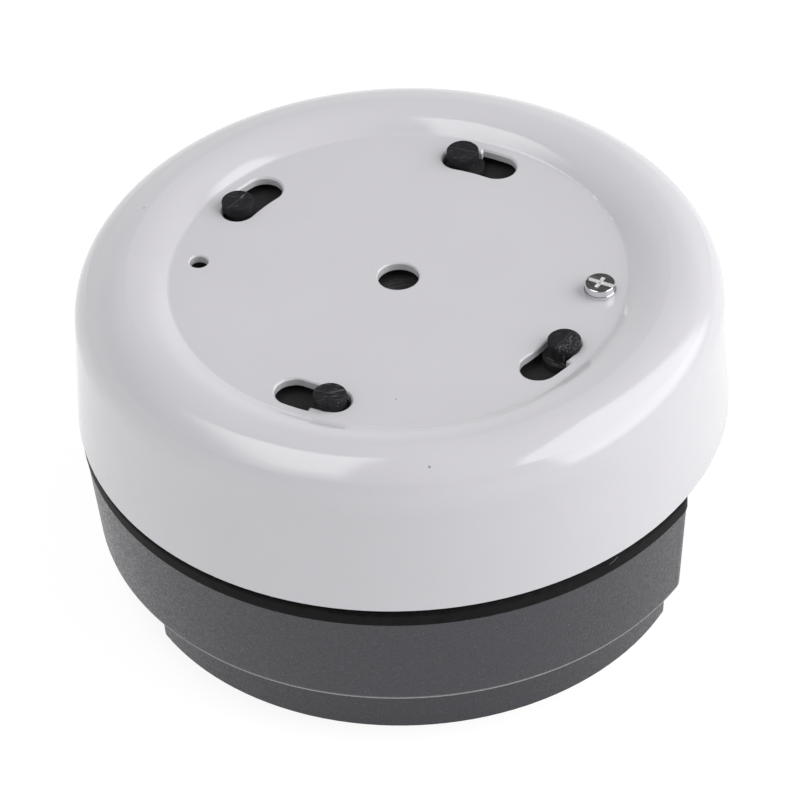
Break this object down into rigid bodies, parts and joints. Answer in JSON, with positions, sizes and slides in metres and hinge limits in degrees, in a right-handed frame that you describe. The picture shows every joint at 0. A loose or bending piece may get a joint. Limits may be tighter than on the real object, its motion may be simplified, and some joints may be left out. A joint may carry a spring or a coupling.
{
  "type": "electronic alarm bell",
  "caption": "Wall-mounted electronic alarm bell: a shallow metal gong with a recessed face, clamped by studs over a deep round base that holds a sounder driver and its board.",
  "frame": {"origin": "centre of the base's back face, on the gong's axis", "axes": "+Z from the wall towards the gong's face, +X towards the flat side with the conduit entry"},
  "size_m": [0.15, 0.15, 0.0809],
  "materials": {
    "gong_paint": "gloss pale grey paint on pressed steel",
    "zinc_steel": "bright zinc plate",
    "brass": "turned brass",
    "chassis_plastic": "black moulded plastic",
    "base_plastic": "dark grey finely textured moulding",
    "rubber": "black rubber",
    "pressed_steel": "plated pressed steel",
    "cone_film": "black polymer film",
    "spider_cloth": "resin-stiffened cloth",
    "copper_wire": "enamelled copper winding",
    "ferrite": "sintered ferrite",
    "tag_board": "brown fibre strip",
    "lead_sleeve": "red lead sleeve",
    "connector_plastic": "natural moulded plastic",
    "board_laminate": "green board laminate",
    "terminal_plastic": "green moulded plastic",
    "capacitor_sleeve": "shrunk black sleeve",
    "chip_epoxy": "black moulded epoxy",
    "jumper_plastic": "blue moulded plastic"
  },
  "bodies": {
    "root": {"gong": "gong_paint", "lock_screw": "zinc_steel", "lock_washer": "zinc_steel", "lock_insert": "brass", "sounder_chassis": "chassis_plastic", "chassis_seal": "rubber", "chassis_screws": "zinc_steel", "base_housing": "base_plastic", "chassis_inserts": "brass", "rear_grommet": "rubber", "driver_gasket": "rubber", "driver_frame": "pressed_steel", "driver_cone": "cone_film", "driver_spider": "spider_cloth", "voice_coil": "copper_wire", "driver_top_plate": "pressed_steel", "driver_magnet": "ferrite", "driver_yoke": "pressed_steel", "driver_tag_strip": "tag_board", "driver_screws": "zinc_steel", "driver_leads": "lead_sleeve", "lead_connector": "connector_plastic", "circuit_board": "board_laminate", "board_screws": "zinc_steel", "terminal_block": "terminal_plastic", "terminal_clamps": "brass", "terminal_screws": "zinc_steel", "filter_capacitors": "capacitor_sleeve", "inductor": "ferrite", "amplifier_chip": "chip_epoxy", "controller_chip": "chip_epoxy", "link_header": "chip_epoxy", "link_pins": "brass", "link_jumpers": "jumper_plastic"}
  },
  "joints": []
}
